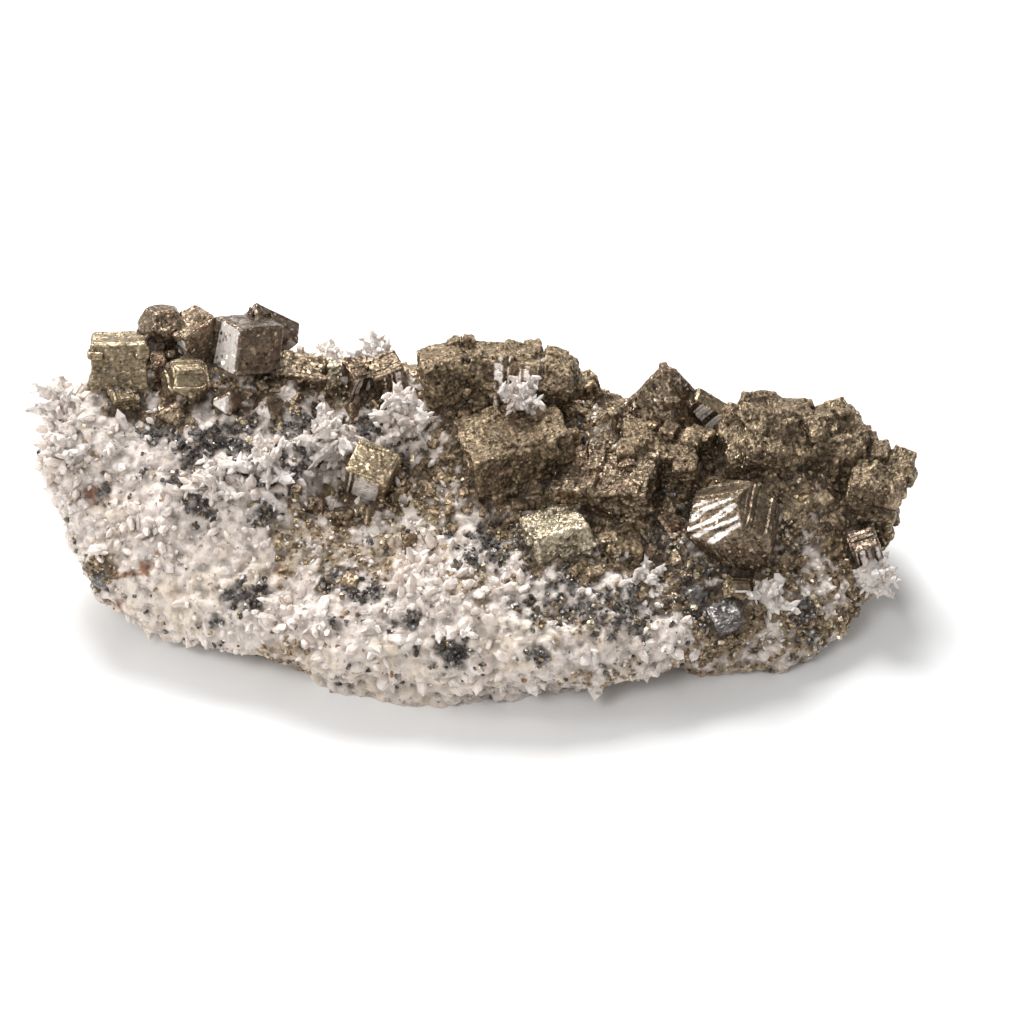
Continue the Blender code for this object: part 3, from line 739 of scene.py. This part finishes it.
def newScatter(piece, name):
    tree = bpy.data.node_groups.new(name, "GeometryNodeTree")
    tree.interface.new_socket("Geometry", in_out="INPUT", socket_type="NodeSocketGeometry")
    tree.interface.new_socket("Geometry", in_out="OUTPUT", socket_type="NodeSocketGeometry")
    modifier = piece.modifiers.new(name, "NODES")
    modifier.node_group = tree
    return tree, addNode(tree, "NodeGroupInput"), addNode(tree, "NodeGroupOutput")


def sunkPoints(tree, entry, spacing, crowding, sink, seed, zoneName=""):
    # points spread over the faces, each one sunk a little below its own face
    points = addNode(tree, "GeometryNodeDistributePointsOnFaces", {"Mesh": entry.outputs[0]},
                     distribute_method="POISSON")
    points.inputs["Distance Min"].default_value = spacing * mm
    points.inputs["Density Max"].default_value = crowding / (spacing * mm) ** 2
    points.inputs["Seed"].default_value = seed
    if zoneName:
        share = addNode(tree, "GeometryNodeInputNamedAttribute", {"Name": zoneName}, data_type="FLOAT")
        tree.links.new(share.outputs[0], points.inputs["Density Factor"])
    inward = addNode(tree, "ShaderNodeVectorMath", {0: points.outputs["Normal"]}, operation="SCALE")
    inward.inputs["Scale"].default_value = -sink * mm
    sunk = addNode(tree, "GeometryNodeSetPosition", {"Geometry": points.outputs["Points"],
                                                     "Offset": inward.outputs[0]})
    return sunk.outputs[0], points.outputs["Normal"]


def tiltedFrom(tree, upright, lean, seed):
    angle = math.radians(lean)
    tilted = addNode(tree, "FunctionNodeEulerToRotation",
                     {0: randomVector(tree, (-angle,) * 3, (angle,) * 3, seed)})
    turned = addNode(tree, "FunctionNodeEulerToRotation", {0: upright})
    return addNode(tree, "FunctionNodeRotateRotation", {0: turned.outputs[0], 1: tilted.outputs[0]},
                   rotation_space="LOCAL").outputs[0]


def placeGrains(piece, tree, entry, leave, points, grain, rotation, scale, keepGround):
    # a copy of the grain on every point, with or without the ground that they stand on
    placed = addNode(tree, "GeometryNodeInstanceOnPoints", {
        "Points": points,
        "Instance": addNode(tree, "GeometryNodeObjectInfo", {"Object": grain}).outputs["Geometry"],
        "Rotation": rotation, "Scale": scale})
    result = addNode(tree, "GeometryNodeRealizeInstances", {0: placed.outputs[0]}).outputs[0]
    if keepGround:
        joined = addNode(tree, "GeometryNodeJoinGeometry")
        tree.links.new(entry.outputs[0], joined.inputs[0])
        tree.links.new(result, joined.inputs[0])
        result = joined.outputs[0]
    tree.links.new(result, leave.inputs[0])
    return applyModifiers(piece)


def overgrow(piece, grain, turn, spacing, sizes, lean, sink, seed):
    # smaller blocks stand on the faces, most of them turned with the crystal that carries them
    tree, entry, leave = newScatter(piece, "overgrowth")
    points = sunkPoints(tree, entry, spacing, 2.0, sink, seed)[0]
    parent = Euler([math.radians(t) for t in turn], "YXZ").to_matrix().to_euler("XYZ")
    rotation = tiltedFrom(tree, tuple(parent), lean, seed + 1)
    scale = randomVector(tree, (sizes[0],) * 3, (sizes[1],) * 3, seed + 2)
    return placeGrains(piece, tree, entry, leave, points, grain, rotation, scale, True)


def stepHeights(along, width, seed):
    # growth steps: bands of uneven width, each at its own height
    rng = np.random.default_rng(seed)
    count = 400
    edges = np.cumsum(rng.uniform(0.35, 1.9, count)) * width
    edges -= edges[count // 2]
    heights = rng.uniform(-1, 1, count + 1)
    band = np.searchsorted(edges, along)
    below = np.where(band > 0, edges[np.clip(band - 1, 0, count - 1)], along)
    blend = np.clip((along - below) / (0.25 * width), 0, 1)
    return heights[np.clip(band - 1, 0, count)] * (1 - blend) + heights[band] * blend


paintedGlintFaces = {
    # node: (face direction in the crystal's own axes, how much of that face gets a painted glint, a
    # near-white painted highlight);
    # a share below 0 gives narrow slanting painted glint stripes instead, that many mm apart
    "pyrite_bright_block": ((0, -1, 0), 1.0),
    "pyrite_tilted_bar": ((0, -1, 0), 0.9),
    "pyrite_triangle_left": ((-1, -1, 1), 1.0),
    "pyrite_triangle_right": ((-1, -1, 1), 1.0),
    "pyrite_crown_block": ((0, -1, 0), 0.25),
    "pyrite_crown_left_lobe": ((1, 0, 0), 0.5),
    "pyrite_striated_dodecahedron": ((0, -1, 2), -1.25),
    "pyrite_dodecahedron_foot": ((0, -1, 2), 0.5),
    "pyrite_gilt_chip": ((0, -1, 0), 0.6),
    "pyrite_striped_cube": ((0, -1, 0), 0.35),
    "pyrite_wedge_left": ((-1, 0, 0), 0.6),
    "pyrite_cube_saddle_a": ((0, -1, 0), 0.5),
    "pyrite_cube_saddle_b": ((0, -1, 0), 0.4),
    "pyrite_column": ((0, -1, 0), 0.3),
    "pyrite_cube_small_middle": ((-1, 0, 0), 0.6),
    "pyrite_peak_blade": ((0, -1, 0), 0.8),
}


stripeSlant = 0.30


def growSteps(piece, centre, turn, height, width, across, seed, paintedGlint=None):
    # across names the axis that the steps climb along on the X, Y and Z faces
    turned = np.array(Euler([math.radians(t) for t in turn], "YXZ").to_matrix())
    places = verticesOf(piece.data)
    normals = normalsOf(piece.data)
    local = (places - np.array(centre)) @ turned / mm
    facing = np.abs(normals @ turned)
    side = facing.argmax(axis=1)
    lift = np.zeros(len(places))
    for axis in range(3):
        stripeAxis = "xyz".index(across[axis])
        on = side == axis
        wander = 0.10 * np.sin(local[:, 3 - axis - stripeAxis] * 0.7 + seed)
        lift[on] = stepHeights(local[on, stripeAxis] + wander[on], width, seed * 3 + axis)
    flatness = np.clip((facing.max(axis=1) - 0.72) / 0.2, 0.25, 1)
    writeVertices(piece.data, places + normals * (lift * flatness * height * mm * 0.5)[:, None])
    # painted glint: faces that point along the given direction get a near-white painted highlight mask, whole
    # or in slanting stripes
    if paintedGlint:
        direction, share = paintedGlint
        towards = (normals @ turned) @ np.array(Vector(direction).normalized())
        band = np.clip((lift - 1 + 2 * share) * 6, 0, 1)
        if share < 0:
            uneven = 0.22 * np.sin(local[:, 1] * 2.3 + 1.0)
            along = local[:, 1] - stripeSlant * local[:, 0] + uneven
            band = np.clip((np.sin(along * 2 * np.pi / -share) - 0.05) * 4, 0, 1)
        writeValues(piece.data, "mirrorShare", np.clip((towards - 0.93) / 0.05, 0, 1) * band)


# voxels in mm, and how many of them fit along a crystal
crystalDetail = {"finest": 0.09, "coarsest": 0.20, "cells": 57}
habits = {
    # overgrowth spacing, block sizes, lean in degrees, sink in mm, smoothing rounds, step height and width,
    # grain, pit and warp heights in mm
    "smooth": (0.0, (0.0, 0.0), 0, 0.0, 3, (0.04, 0.60), (0.14, 0.08, 0.5)),
    "plain": (2.6, (0.6, 2.2), 7, 0.62, 0, (0.16, 0.42), (0.10, 0.04, 0.45)),
    "striped": (4.0, (0.5, 1.3), 3, 0.50, 0, (0.34, 0.46), (0.05, 0.0, 0.15)),
    "bright": (4.2, (0.4, 1.2), 4, 0.45, 0, (0.08, 0.60), (0.05, 0.0, 0.10)),
    "granular": (1.9, (0.8, 2.8), 16, 0.80, 0, (0.07, 0.36), (0.22, 0.16, 0.75)),
    "crusted": (2.2, (1.0, 3.6), 13, 1.10, 0, (0.09, 0.40), (0.24, 0.18, 1.00)),
}


def addPyrite(node, turn, finishName, habit, across, seed):
    spacing, sizes, lean, sink, rounds, (stepHeight, stepWidth), (grain, pits, warp) = habits[habit]
    low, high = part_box(node)
    size = max(high - low) / mm
    piece = copyOfNode(node, node.replace("pyrite_", "pyriteCrystal_"))
    scale = min(1.0, size / 9)
    if spacing:
        sizes = tuple(s * scale for s in sizes)
        overgrow(piece, blockOfSteps, turn, spacing * scale, sizes, lean, sink * scale, seed)
    voxel = max(crystalDetail["finest"], size / crystalDetail["cells"])
    remeshed(piece, min(crystalDetail["coarsest"], voxel))
    if rounds:
        ease = piece.modifiers.new("ease", "SMOOTH")
        ease.factor = 0.5
        ease.iterations = rounds
        applyModifiers(piece)
    growSteps(piece, (low + high) / 2, turn, stepHeight, stepWidth, across, seed, paintedGlintFaces.get(node))
    roughened(piece, "crust", "CLOUDS", 0.5, grain)
    roughened(piece, "warp", "CLOUDS", 2.8, warp)
    if pits:
        roughened(piece, "grains", "VORONOI", 0.5, -pits)
    applyModifiers(piece)
    finishPiece(piece, [node], finishes[finishName])
    return piece


blockOfSteps = stepBlock()
pyritePieces = {}
for number, (node, row) in enumerate(pyriteCrystals.items()):
    pyritePieces[node] = addPyrite(node, *row, seed=number + 1)
print("pyrite crystals:", len(pyritePieces), "pieces,",
      sum(len(p.data.polygons) for p in pyritePieces.values()), "faces")


def pointedGrain(name, sides, length, width, pointShare):
    deselectAll()
    body = length * (1 - pointShare) * mm
    bpy.ops.mesh.primitive_cylinder_add(vertices=sides, radius=width / 2 * mm, depth=body,
                                        location=(0, 0, body / 2))
    piece = bpy.context.object
    piece.name = name
    bpy.ops.object.transform_apply(location=True, rotation=True, scale=True)
    editTopFace(piece)
    bpy.ops.mesh.extrude_region_move(TRANSFORM_OT_translate={"value": (0, 0, length * pointShare * mm)})
    bpy.ops.mesh.merge(type="CENTER")
    bpy.ops.object.mode_set(mode="OBJECT")
    return markAsGrain(piece)


def blockGrain(name, size):
    deselectAll()
    bpy.ops.mesh.primitive_cube_add(size=size * mm, location=(0, 0, 0))
    piece = bpy.context.object
    piece.name = name
    editTopFace(piece)
    bpy.ops.mesh.inset(thickness=size * 0.16 * mm, depth=0)
    step = (size * 0.05 * mm, 0, size * 0.22 * mm)
    bpy.ops.mesh.extrude_region_move(TRANSFORM_OT_translate={"value": step})
    bpy.ops.object.mode_set(mode="OBJECT")
    return markAsGrain(piece)


def copyOfGround(ground, name):
    piece = ground.copy()
    piece.data = ground.data.copy()
    piece.name = name
    bpy.context.scene.collection.objects.link(piece)
    return piece


def growOn(ground, name, grain, zoneName, spacing, scale, lean, seed, sink, keepGround=False):
    # grains that stand away from the ground, each leaning its own way
    piece = ground if keepGround else copyOfGround(ground, name)
    tree, entry, leave = newScatter(piece, name + "Scatter")
    points, outward = sunkPoints(tree, entry, spacing, 3.0, sink, seed, zoneName)
    leaning = randomVector(tree, (-lean,) * 3, (lean,) * 3, seed + 1)
    towards = addNode(tree, "ShaderNodeVectorMath", {0: outward, 1: leaning}, operation="ADD")
    spin = addNode(tree, "FunctionNodeEulerToRotation",
                   {0: randomVector(tree, (0, 0, 0), (0, 0, 6.283), seed + 2)})
    aligned = addNode(tree, "FunctionNodeAlignRotationToVector",
                      {"Rotation": spin.outputs[0], "Vector": towards.outputs[0]}, axis="Z")
    size = addNode(tree, "FunctionNodeRandomValue", data_type="FLOAT")
    size.inputs[2].default_value = scale[0]
    size.inputs[3].default_value = scale[1]
    size.inputs["Seed"].default_value = seed + 3
    shape = addNode(tree, "ShaderNodeVectorMath",
                    {0: randomVector(tree, (0.8, 0.5, 0.7), (1.3, 0.9, 1.3), seed + 4)}, operation="SCALE")
    tree.links.new(size.outputs[1], shape.inputs["Scale"])
    placeGrains(piece, tree, entry, leave, points, grain, aligned.outputs[0], shape.outputs[0], keepGround)
    print(name, len(piece.data.polygons), "faces")
    return piece


grainShapes = {
    # name: sides, length and width in mm, share of the length that tapers to the tip
    "broadQuartz": (6, 1.75, 1.15, 0.40),
    "sugarGrain": (5, 0.55, 0.50, 0.45),
    "bladeQuartz": (6, 1.7, 0.80, 0.34),
}
broadQuartz, sugarGrain, bladeQuartz = [pointedGrain(name, *row) for name, row in grainShapes.items()]
blockOfPyrite = blockGrain("blockOfPyrite", 0.62)

darkCrystal = {"voxel": 0.09, "turn": (15, 8, 20), "stepHeight": 0.16, "stepWidth": 0.5, "etch": (0.9, 0.2)}
for number, node in enumerate(n for n in frame["nodes"] if n.startswith("sphalerite_")):
    low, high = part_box(node)
    piece = copyOfNode(node, node.replace("sphalerite_", "sphaleriteCrystal_"))
    remeshed(piece, darkCrystal["voxel"])
    growSteps(piece, (low + high) / 2, darkCrystal["turn"], darkCrystal["stepHeight"],
              darkCrystal["stepWidth"], "zxy", 200 + number)
    roughened(piece, "etch", "CLOUDS", *darkCrystal["etch"])
    applyModifiers(piece)
    finishPiece(piece, [node], finishes["sphalerite"])

spray = {"spacing": 0.80, "scale": (0.5, 1.15), "lean": 0.85, "sink": 0.50}
for number, node in enumerate(n for n in frame["nodes"] if n.startswith("quartz_")):
    piece = copyOfNode(node, node.replace("quartz_", "quartzSpray_"))
    growOn(piece, piece.name, bladeQuartz, "", spray["spacing"], spray["scale"], spray["lean"],
           300 + number, spray["sink"], keepGround=True)
    finishPiece(piece, [node], finishes["quartz"])
print("sprays and dark crystals ready")


def growCrust(name, zoneName, spacing, sizes, domain, lean, sink, voxel, seed):
    # blocks that share a turn within each domain, fused into one stepped mass
    piece = copyOfGround(matrixRock, name)
    tree, entry, leave = newScatter(piece, name + "Scatter")
    points = sunkPoints(tree, entry, spacing, 3.0, sink, seed, zoneName)[0]
    where = addNode(tree, "ShaderNodeVectorMath", {0: addNode(tree, "GeometryNodeInputPosition").outputs[0],
                                                   1: (1000 / domain,) * 3}, operation="MULTIPLY")
    cells = addNode(tree, "ShaderNodeTexVoronoi", {"Vector": where.outputs[0], "Scale": 1.0})
    turn = addNode(tree, "ShaderNodeVectorMath", {0: cells.outputs["Color"], 1: (3.0, 3.0, 3.0)},
                   operation="MULTIPLY")
    rotation = tiltedFrom(tree, turn.outputs[0], lean, seed + 1)
    scale = randomVector(tree, (sizes[0],) * 3, (sizes[1],) * 3, seed + 2)
    placeGrains(piece, tree, entry, leave, points, blockOfSteps, rotation, scale, False)
    remeshed(piece, voxel)
    roughened(piece, "crust", "CLOUDS", 0.6, 0.16)
    roughened(piece, "warp", "CLOUDS", 2.4, 0.4)
    applyModifiers(piece)
    print(name, len(piece.data.polygons), "faces")
    return piece


crusts = {
    # piece: zone, spacing, block sizes, domain, lean, sink, voxel, finish
    "leftCrust": ("crustLeft", 1.05, (0.7, 2.6), 1.9, 20, 0.40, 0.25, "darkTarnish"),
    "middleCrust": ("crustMiddle", 1.05, (0.6, 2.2), 1.9, 20, 0.45, 0.25, "granularBrass"),
    "rightCrust": ("crustRight", 1.05, (0.6, 2.2), 2.2, 20, 0.50, 0.27, "duskyBrass"),
}
for number, (name, row) in enumerate(crusts.items()):
    crust = growCrust(name, *row[:-1], seed=400 + 5 * number)
    finishPiece(crust, ["matrix"], finishes[row[-1]])
bpy.data.objects.remove(blockOfSteps, do_unlink=True)


skins = {
    # piece: grain, zone, spacing, scale range, lean, sink, finish, slot
    "quartzDruse": (broadQuartz, "druseShare", 0.90, (0.35, 1.0), 0.9, 0.50, "druse", "quartz"),
    "quartzPoints": (broadQuartz, "bladedShare", 0.80, (0.5, 1.45), 0.85, 0.55, "quartz", "quartz"),
    "quartzSugar": (sugarGrain, "sugarShare", 0.55, (0.5, 1.3), 0.9, 0.14, "druse", "quartz"),
    "sphaleriteGrains": (blockOfPyrite, "darkGrainShare", 0.48, (0.3, 1.2), 1.8, 0.08, "sphalerite",
                         "sphalerite"),
    "pyriteGrains": (blockOfPyrite, "brassGrainShare", 0.52, (0.3, 1.1), 1.8, 0.08, "granularBrass",
                     "pyrite"),
    "brightGrains": (blockOfPyrite, "brassGrainShare", 1.1, (0.3, 1.1), 1.8, 0.05, "oliveGrain", "pyrite"),
}
for number, (name, row) in enumerate(skins.items()):
    grain, zoneName, spacing, scale, lean, sink, finishName, slotName = row
    skin = growOn(matrixRock, name, grain, zoneName, spacing, scale, lean, 10 * number + 3, sink)
    finishPiece(skin, ["matrix"], finishes[finishName])
finishPiece(matrixRock, ["matrix"], finishes["rock"])
for grain in (broadQuartz, sugarGrain, bladeQuartz, blockOfPyrite):
    bpy.data.objects.remove(grain, do_unlink=True)

triangles = {}
for piece in bpy.data.objects:
    if piece.type == "MESH" and not piece.hide_render:
        triangles[piece.name] = sum(len(face.vertices) - 2 for face in piece.data.polygons)
print("all pieces:", sum(triangles.values()), "triangles, largest", max(triangles.values()))
